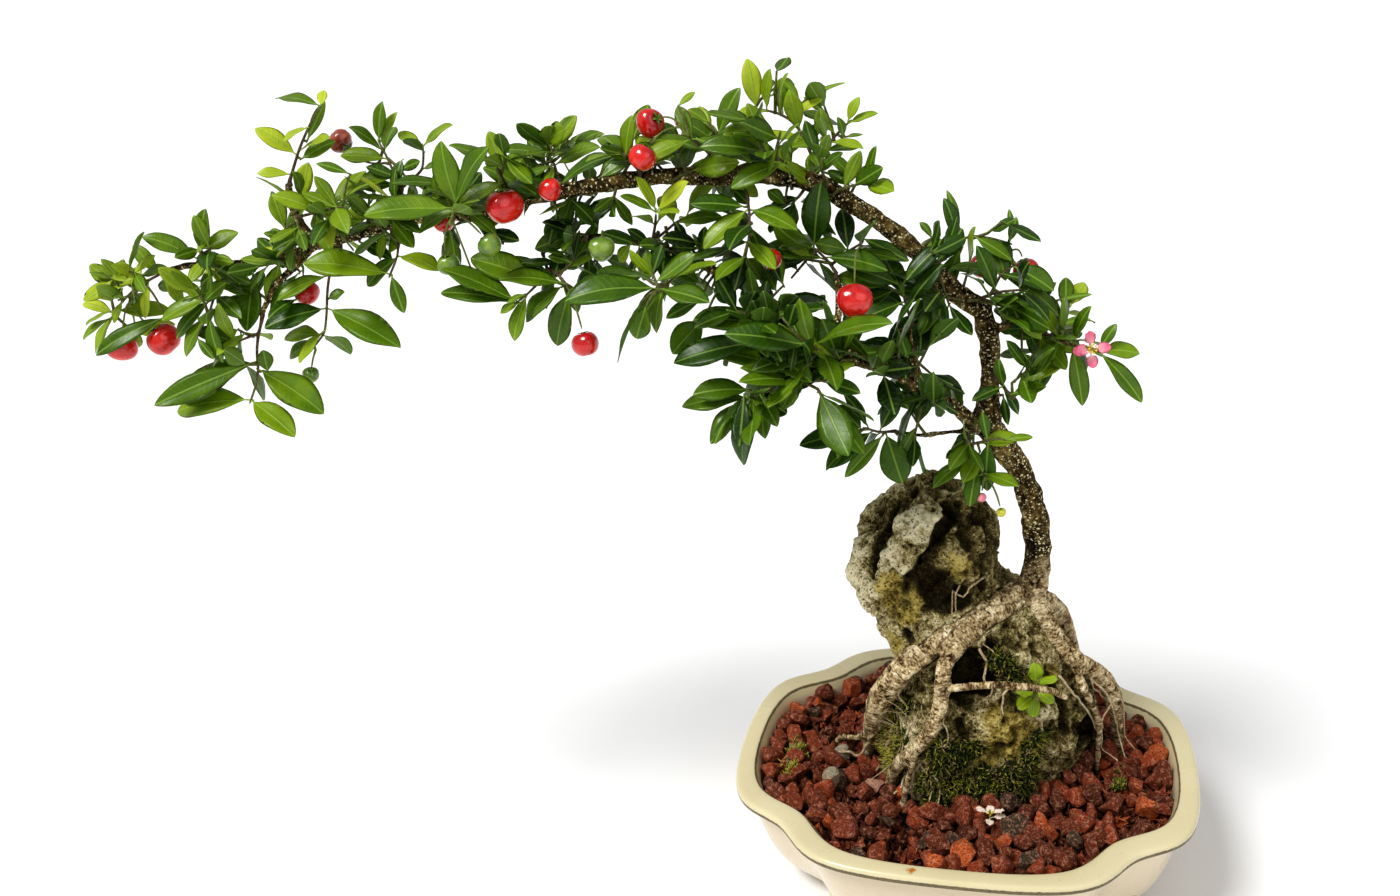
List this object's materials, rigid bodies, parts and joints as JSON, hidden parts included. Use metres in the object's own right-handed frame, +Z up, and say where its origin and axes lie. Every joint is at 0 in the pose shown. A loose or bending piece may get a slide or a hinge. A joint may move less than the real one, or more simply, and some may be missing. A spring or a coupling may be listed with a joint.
{
  "type": "root-over-rock bonsai",
  "caption": "Root-over-rock bonsai with a long arching branch bearing leaves, cherries and flowers, in a low lobed glazed pot with soil and lava gravel.",
  "frame": {"origin": "centre of the bounding box in plan, at the level of the surface that the pot's feet stand on", "axes": "+X along the long branch, from its tip towards the pot, the longest extent; +Y away from the viewer, the shortest extent; +Z up"},
  "size_m": [0.6575, 0.2478, 0.5064],
  "materials": {
    "cream_glaze": "glossy cream glaze with fine pits",
    "dark_plastic": "plain dark mesh",
    "soil": "loose dark earth, matt",
    "lava_gravel": "rough brick-red lava grit",
    "rock": "rough porous grey-olive limestone with ochre patches",
    "bark": "dark brown bark with pale flecks",
    "leaf_dark": "living leaf, old, dark and glossy",
    "leaf_green": "living leaf, glossy",
    "leaf_young": "living leaf, young, bright and glossy",
    "cherry_red": "fresh fruit skin, smooth and glossy",
    "cherry_brown": "withered fruit skin, semi-matt",
    "cherry_green": "unripe fruit skin, smooth",
    "petal_pink": "thin crinkled petal",
    "petal_pale": "thin faded petal",
    "stamen_yellow": "soft matt"
  },
  "bodies": {
    "root": {"bud_pink": "petal_pink", "cherry_arch_pair": "cherry_red", "cherry_arch_small": "cherry_red", "cherry_big": "cherry_red", "cherry_crown": "cherry_red", "cherry_front_big": "cherry_red", "cherry_front_small": "cherry_red", "cherry_hidden": "cherry_red", "cherry_low": "cherry_red", "cherry_middle": "cherry_red", "cherry_right_pair": "cherry_red", "cherry_tip_pair": "cherry_red", "cherry_withered": "cherry_brown", "drain_mesh": "dark_plastic", "flower_fallen": "petal_pale", "flower_heart": "stamen_yellow", "flower_petals": "petal_pink", "fruit_green_low": "cherry_green", "fruit_green_middle": "cherry_green", "fruit_green_oval": "cherry_green", "fruit_green_pair": "cherry_green", "fruit_young": "stamen_yellow", "gravel": "lava_gravel", "pot": "cream_glaze", "rock": "rock", "seedling": "leaf_young", "soil": "soil", "spray_arch": "leaf_green", "spray_arch_left": "leaf_green", "spray_arch_right": "leaf_green", "spray_arm": "leaf_green", "spray_arm_low": "leaf_green", "spray_big": "leaf_green", "spray_burl_down": "leaf_green", "spray_burl_left": "leaf_dark", "spray_crown": "leaf_green", "spray_crown_left": "leaf_green", "spray_fork": "leaf_green", "spray_front": "leaf_green", "spray_front_mid": "leaf_green", "spray_hang_left": "leaf_green", "spray_hang_right": "leaf_green", "spray_low": "leaf_green", "spray_low_mid": "leaf_dark", "spray_mid": "leaf_young", "spray_mid_left": "leaf_dark", "spray_mid_right": "leaf_green", "spray_right": "leaf_green", "spray_right_mid": "leaf_dark", "spray_right_top": "leaf_green", "spray_riser_a": "leaf_dark", "spray_riser_b": "leaf_dark", "spray_tip": "leaf_young", "spray_top": "leaf_young", "spray_top_left": "leaf_green", "spray_trunk": "leaf_dark", "spray_tuft": "leaf_green", "spray_under_left": "leaf_green", "spray_up": "leaf_young", "tree": "bark"}
  },
  "joints": []
}
